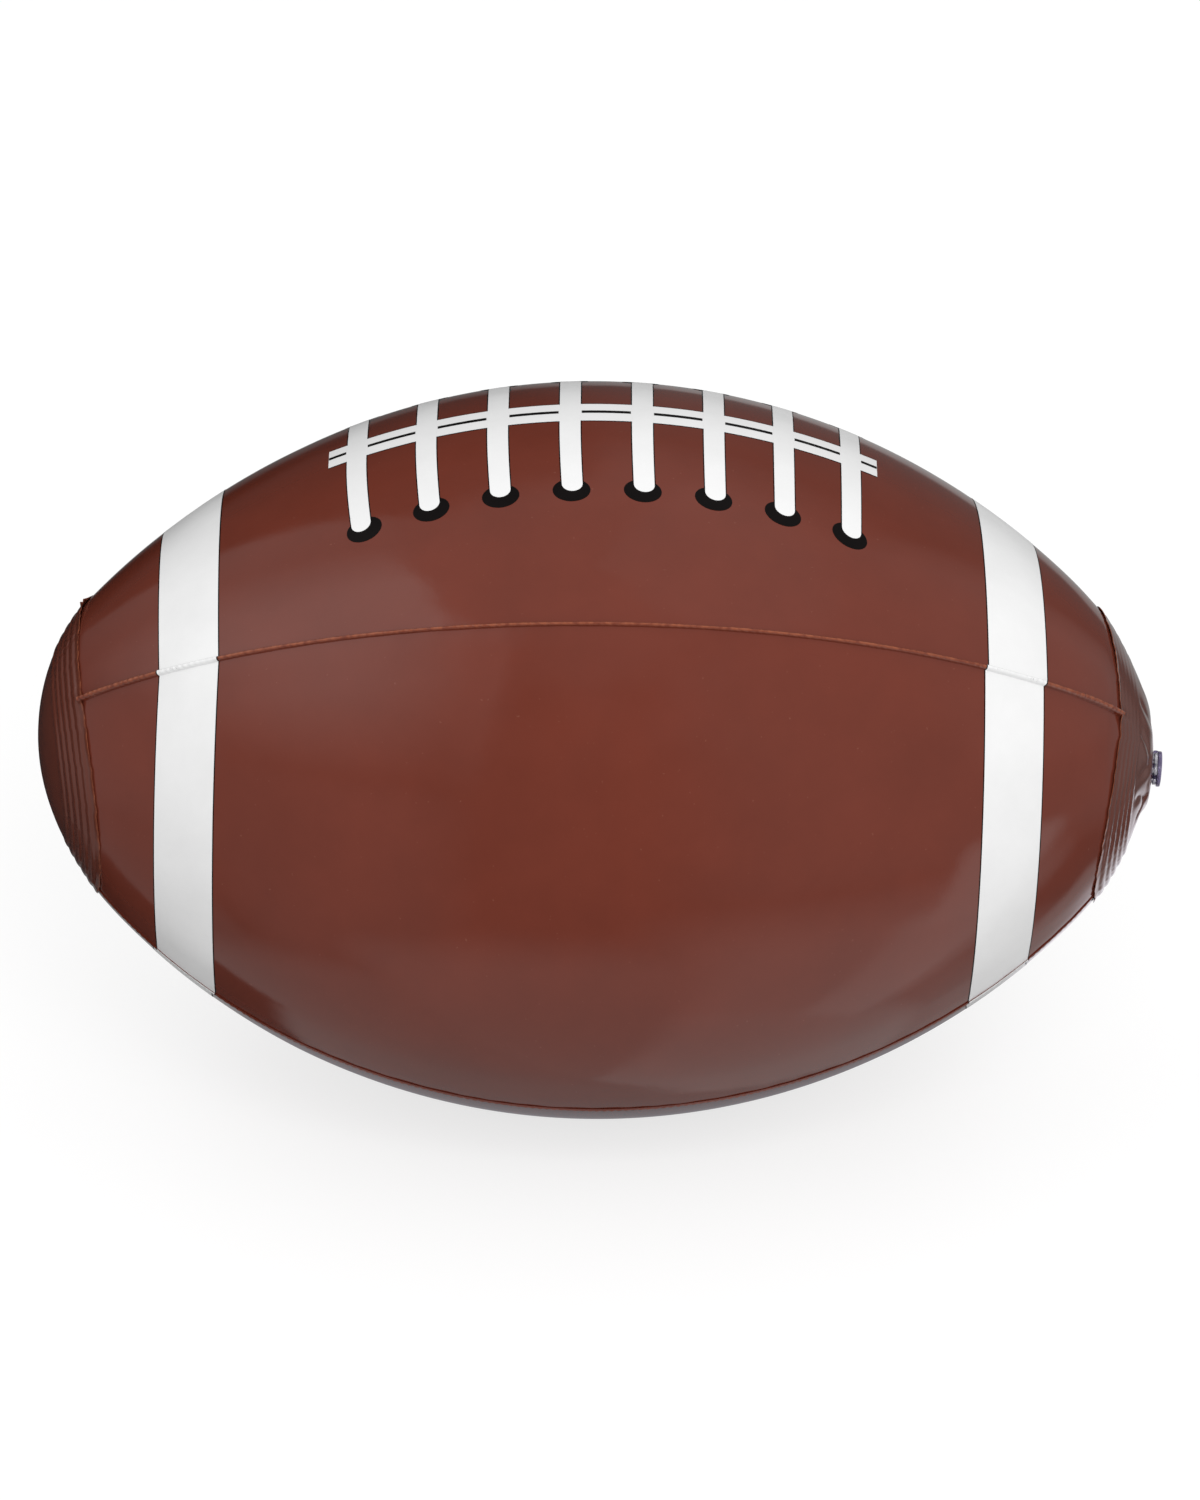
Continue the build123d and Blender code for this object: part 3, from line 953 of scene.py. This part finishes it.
# the soft cone: its foot under the flange, out along the cone's outer side and back along the inner
foot = [under(0.92, 7.6), under(0.92, 9.5), under(1.4, 9.5), under(1.4, 8.0)]
down = np.linspace(0.05, 1, 12)
cone_out = [(7.75 - 1.9 * t - 0.25 * sin(pi * t), -1.15 - 4.85 * t) for t in down]
cone_in = [(r - 0.5, z - 0.12) for r, z in cone_out[::-1]]
cone = [*foot, *((r + 0.28, z - 0.1) for r, z in cone_out), *((r, z + 0.25) for r, z in cone_in)]
diaphragm = put("valve_diaphragm_fold", turned(cone), None, "valve_diaphragm")


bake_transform(diaphragm)

stem_profile = [
    (3.6, 1.5), (5.8, 1.5), (5.8, 0.3), (5.1, 0.3), (5.1, -6.35), (5.7, -6.35), (5.7, -7.15),
    (5.1, -7.15), (5.1, -12.0), (3.6, -12.0),
]
put("valve_stem_tube", turned(rounded(stem_profile, 0.3)), "valve_tube", "valve_stem", rim_glint_finish)

stopper_profile = [
    (0.0, 3.0), (6.4, 3.0), (6.4, 1.6), (3.52, 1.6), (3.52, -3.8), (3.02, -5.0), (1.92, -5.0),
    (1.92, 1.4), (0.0, 1.4),
]
put("valve_stopper", turned(rounded(stopper_profile, 0.35)), "stopper", "stopper")

# the leaf over the tube's inner end, with a straight tab on its hinge side
LEAF_RADIUS = 4.7
LEAF_TAB_HALF = 1.5
LEAF_TAB_REACH = 5.1
LEAF_TOP, LEAF_THICK, LEAF_BELLY = -12.12, 0.56, 0.12
a = np.linspace(0, 2 * pi, 64, endpoint=False)
leaf_x, leaf_y = LEAF_RADIUS * np.cos(a), LEAF_RADIUS * np.sin(a)
leaf_y = np.where((np.abs(leaf_x) < LEAF_TAB_HALF) & (leaf_y > 0), LEAF_TAB_REACH, leaf_y)
share = np.linspace(0.02, 1, 8)[:, None]
leaf_top = np.stack([share * leaf_x, share * leaf_y, LEAF_TOP + 0 * share * leaf_x], -1)
leaf_low = leaf_top.copy()
leaf_low[..., 2] -= LEAF_THICK + LEAF_BELLY * (1 - share**2)
leaf_verts, leaf_faces = shell(leaf_top, leaf_low, wrap=True)
put("valve_check_flap", (in_valve(leaf_verts), leaf_faces), "flap", "check_flap")

# the strap: a flat band out from the stem's lip, round and back to the stopper's head
STRAP_LOW, STRAP_HIGH = 0.9, 2.3
STRAP_FROM, STRAP_TURN, STRAP_TO = 5.9, 11.1, 6.5  # distances from the valve's axis
bend = (STRAP_HIGH - STRAP_LOW) / 2
t = np.linspace(0, 1, 12)
path = [(STRAP_FROM + (STRAP_TURN - STRAP_FROM) * s, STRAP_LOW) for s in t]
path += [(STRAP_TURN + bend * sin(pi * s), STRAP_LOW + bend * (1 - cos(pi * s))) for s in t[1:-1]]
path += [(STRAP_TURN - (STRAP_TURN - STRAP_TO) * s, STRAP_HIGH) for s in t]
way = np.gradient(np.array(path), axis=0)
way /= np.linalg.norm(way, axis=1, keepdims=True)
section = rounded([(-1.5, -0.35), (1.5, -0.35), (1.5, 0.35), (-1.5, 0.35)], 0.2, 4)
loops = np.array(
    [[(x - dz * h, y, z + dx * h) for y, h in section] for (x, z), (dx, dz) in zip(path, way)]
)
strap_verts, strap_faces = tube_of(loops)
strap = put("valve_strap", (in_valve(strap_verts), strap_faces), None, "stopper_strap")
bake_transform(strap)

# ---- Floor, light and camera ----
FLOOR_Z = -0.1305
FLOOR_SIZE = 60.0
FLOOR_COLOUR = 0.5
FLOOR_SEEN_COLOUR = 0.3  # to the camera, so that the shadow is faint
FLOOR_GLOW = 0.736  # what the white background adds to the lit floor
AMBIENT = 0.82


def seen_rays(tree):
    """1 for rays that show the background: the camera's, and those off gloss and through glass."""
    path = tree.nodes.new("ShaderNodeLightPath")
    total = path.outputs["Is Camera Ray"]
    for name in ("Is Glossy Ray", "Is Transmission Ray"):
        either = tree.nodes.new("ShaderNodeMath")
        either.operation = "MAXIMUM"
        tree.links.new(total, either.inputs[0])
        tree.links.new(path.outputs[name], either.inputs[1])
        total = either.outputs[0]
    return total


def ranged(tree, source, low, high):
    node = tree.nodes.new("ShaderNodeMapRange")
    node.inputs["To Min"].default_value = low
    node.inputs["To Max"].default_value = high
    tree.links.new(source, node.inputs["Value"])
    return node.outputs["Result"]


def stage_mesh(name, verts, faces, shader):
    mesh = bpy.data.meshes.new(name)
    mesh.from_pydata(verts, [], faces)
    obj = bpy.data.objects.new(name, mesh)
    bpy.context.scene.collection.objects.link(obj)
    material = bpy.data.materials.new(name)
    material.use_nodes = True
    tree = material.node_tree
    tree.nodes.remove(tree.nodes["Principled BSDF"])
    tree.links.new(shader(tree), tree.nodes["Material Output"].inputs["Surface"])
    mesh.materials.append(material)
    return obj


def floor_shader(tree):
    diffuse = tree.nodes.new("ShaderNodeBsdfDiffuse")
    seen = seen_rays(tree)
    tree.links.new(ranged(tree, seen, FLOOR_COLOUR, FLOOR_SEEN_COLOUR), diffuse.inputs["Color"])
    glow = tree.nodes.new("ShaderNodeEmission")
    tree.links.new(ranged(tree, seen, 0.0, FLOOR_GLOW), glow.inputs["Strength"])
    both = tree.nodes.new("ShaderNodeAddShader")
    tree.links.new(diffuse.outputs[0], both.inputs[0])
    tree.links.new(glow.outputs[0], both.inputs[1])
    return both.outputs[0]


h = FLOOR_SIZE / 2
floor = stage_mesh(
    "floor",
    [(-h, -h, FLOOR_Z), (h, -h, FLOOR_Z), (h, h, FLOOR_Z), (-h, h, FLOOR_Z)],
    [(0, 1, 2, 3)],
    floor_shader,
)

world = bpy.data.worlds.new("studio")
bpy.context.scene.world = world
world.use_nodes = True
background = world.node_tree.nodes["Background"]
background.inputs["Color"].default_value = (1, 1, 1, 1)
world_strength = ranged(world.node_tree, seen_rays(world.node_tree), AMBIENT, 1.0)
world.node_tree.links.new(world_strength, background.inputs["Strength"])

# What the vinyl mirrors: a room of soft cards that only gloss sees. A large soft box stands at the
# left, weaker cards at the right, a dim ceiling over all, a lit table below and a dark camera side.
# Directions are degrees from the camera's side toward +X, and above the horizon.
ROOM_LEVEL = 0.13
CARDS = (  # from and to in azimuth, in elevation, soft edges (left, right, low, high), level
    ((-141, -20), (12, 67), (2, 2, 60, 3), 0.42),
    ((-120, -32), (14, 66), (56, 62, 48, 4), 1.10),
    ((-112, -62), (-30, 20), (10, 20, 30, 1), 0.36),
    ((-60, -18), (40, 66), (20, 20, 26, 10), 0.60),
    ((-400, 400), (40, 100), (1, 1, 40, 1), 0.37),
    ((20, 175), (46, 100), (80, 40, 30, 1), 0.48),
    ((12, 138), (-30, 70), (50, 16, 20, 10), 0.32),
    ((56, 134), (-8, 72), (36, 14, 22, 8), 0.38),
    ((64, 84), (-42, -19), (5, 4, 3, 8), 1.0),
    ((54, 86), (-66, -34), (22, 6, 10, 12), 0.92),
    ((-400, 400), (-95, -46), (1, 1, 1, 16), 0.48),
    ((-55, 60), (-95, -36), (30, 30, 1, 22), 0.52),
    ((10, 92), (-95, -28), (50, 12, 1, 34), 0.68),
    ((10, 145), (-95, -58), (50, 20, 1, 8), 0.74),
    ((-75, -20), (-50, 10), (30, 30, 1, 20), 0.28),
    ((-118, -74), (-56, 2), (8, 12, 12, 4), 0.28),
    ((112, 168), (-62, -38), (12, 14, 8, 4), 0.55),
    ((148, 200), (-40, -6), (12, 16, 1, 4), 0.40),
)
SHADES = (  # the same for dark places, with how much each takes away
    ((-150, -106), (-60, -38), (6, 3, 3, 3), 0.90),
    ((-168, -110), (-34, 4), (10, 8, 8, 8), 0.92),
    ((-180, -139), (-20, 58), (10, 2, 6, 14), 0.72),
)


def soft_step(value, edge, soft):
    t = np.clip((value - edge) / soft + 0.5, 0, 1)
    return t * t * (3 - 2 * t)


def card_share(azimuth, elevation, sides, heights, soft):
    """How far directions lie inside a card, 0 to 1. A straight top edge bows in these angles."""
    total = 0 * azimuth
    for turn in (0, 360, -360):
        a = azimuth + turn
        top = heights[1]
        if 0 < top < 90 and sides[1] - sides[0] < 180:
            off = np.radians(np.clip(np.abs(a - sum(sides) / 2), 0, 89))
            top = np.degrees(np.arctan(tan(radians(top)) * np.cos(off)))
        inside = soft_step(a, sides[0], soft[0]) * (1 - soft_step(a, sides[1], soft[1]))
        inside = inside * soft_step(elevation, heights[0], soft[2])
        total = np.maximum(total, inside * (1 - soft_step(elevation, top, soft[3])))
    return total


def card_level(azimuth, elevation):
    level = ROOM_LEVEL + 0 * azimuth
    for *card, strength in CARDS:
        level = np.maximum(level, strength * card_share(azimuth, elevation, *card))
    for *card, strength in SHADES:
        level = level * (1 - strength * card_share(azimuth, elevation, *card))
    return level


def room_shader(tree):
    level = tree.nodes.new("ShaderNodeAttribute")
    level.attribute_name = "level"
    glow = tree.nodes.new("ShaderNodeEmission")
    tree.links.new(level.outputs["Fac"], glow.inputs["Strength"])
    return glow.outputs[0]


def only_in_gloss(obj, levels):
    set_points(obj.data, "level", levels)
    obj.visible_camera = obj.visible_diffuse = obj.visible_shadow = False
    obj.visible_transmission = obj.visible_volume_scatter = False


ROOM_RADIUS = 6.0
azimuths, elevations = np.meshgrid(np.arange(-180, 180, 1.0), np.linspace(-89.9, 89.9, 180))
az, el = np.radians((azimuths, elevations))
room = ROOM_RADIUS * np.stack([np.sin(az) * np.cos(el), -np.cos(az) * np.cos(el), np.sin(el)], -1)
faces = grid_faces(*azimuths.shape, wrap=True)
places = room.reshape(-1, 3).tolist()
cards = stage_mesh("reflection_room", places, faces.tolist(), room_shader)
only_in_gloss(cards, card_level(azimuths, elevations))
floor.visible_glossy = False  # the room's own table stands in for it

# Patches of that table near the ball, in mm: middle, half sizes and level. The first is the ball's
# own contact shadow, painted;
# a painted shadow darkens the table behind the ball's left end, and a painted pool of light
# brightens it behind its right one.
SHADOW_AND_LIGHT_PATCHES = (
    ((0, 0), (175, 95), 0.31),
    ((-360, 270), (230, 260), 0.02),
    ((222, 168), (110, 170), 1.1),
)


PATCH_COLOUR = (0.97, 0.94, 1.0, 1.0)
PATCH_EDGE = (0.84, 0.32)  # place and softness of a patch's edge, as shares of its size
PATCH_STEP = 0.0004  # each patch lies this much above the one before


def patch_shader(level):
    def shader(tree):
        cover = tree.nodes.new("ShaderNodeAttribute")
        cover.attribute_name = "level"
        glow = tree.nodes.new("ShaderNodeEmission")
        glow.inputs["Color"].default_value = PATCH_COLOUR
        glow.inputs["Strength"].default_value = level
        both = tree.nodes.new("ShaderNodeMixShader")
        tree.links.new(cover.outputs["Fac"], both.inputs["Fac"])
        tree.links.new(tree.nodes.new("ShaderNodeBsdfTransparent").outputs[0], both.inputs[1])
        tree.links.new(glow.outputs[0], both.inputs[2])
        return both.outputs[0]

    return shader


around = np.linspace(0, 2 * pi, 48, endpoint=False)
share = np.linspace(0.02, 1, 12)[:, None]
for number, ((x, y), (half_x, half_y), level) in enumerate(SHADOW_AND_LIGHT_PATCHES, 1):
    height = FLOOR_Z + PATCH_STEP * number
    places = [
        ((x + half_x * s * cos(a)) * MM, (y + half_y * s * sin(a)) * MM, height)
        for s in share[:, 0]
        for a in around
    ]
    faces = grid_faces(len(share), len(around), wrap=True)
    patch = stage_mesh(f"table_patch_{number - 1}", places, faces.tolist(), patch_shader(level))
    only_in_gloss(patch, 1 - soft_step(share, *PATCH_EDGE) + 0 * around)

LAMP_AZIMUTH, LAMP_ELEVATION = radians(12), radians(35)
LAMP_DISTANCE, LAMP_SIZE, LAMP_POWER = 3.0, 1.6, 40

lamp_data = bpy.data.lights.new("front", "AREA")
lamp_data.size = LAMP_SIZE
lamp_data.energy = LAMP_POWER
lamp = bpy.data.objects.new("front", lamp_data)
bpy.context.scene.collection.objects.link(lamp)
flat = cos(LAMP_ELEVATION)
back = Vector((sin(LAMP_AZIMUTH) * flat, -cos(LAMP_AZIMUTH) * flat, sin(LAMP_ELEVATION)))
lamp.location = back * LAMP_DISTANCE
lamp.rotation_mode = "QUATERNION"
lamp.rotation_quaternion = (-back).to_track_quat("-Z", "Y")
lamp.visible_camera = lamp.visible_glossy = False

CAMERA_ELEVATION = radians(26.2)
CAMERA_ROLL = radians(-0.42)
CAMERA_DISTANCE = 4.59
LENS = 307.4
OFF_CENTRE = (0.00172, -0.00018)

camera_data = bpy.data.cameras.new("camera")
camera = bpy.data.objects.new("camera", camera_data)
bpy.context.scene.collection.objects.link(camera)
bpy.context.scene.camera = camera
camera_data.lens = LENS
camera_data.sensor_width = 36
back = Vector((0, -cos(CAMERA_ELEVATION), sin(CAMERA_ELEVATION)))
right = Vector((1, 0, 0))
up = right.cross(-back)
cam_right = cos(CAMERA_ROLL) * right - sin(CAMERA_ROLL) * up
cam_up = cos(CAMERA_ROLL) * up + sin(CAMERA_ROLL) * right
spot = back * CAMERA_DISTANCE + cam_right * OFF_CENTRE[0] + cam_up * OFF_CENTRE[1]
facing = Matrix((cam_right, cam_up, back)).transposed().to_4x4()
camera.matrix_world = Matrix.Translation(spot) @ facing

bpy.context.scene.view_settings.view_transform = "Standard"
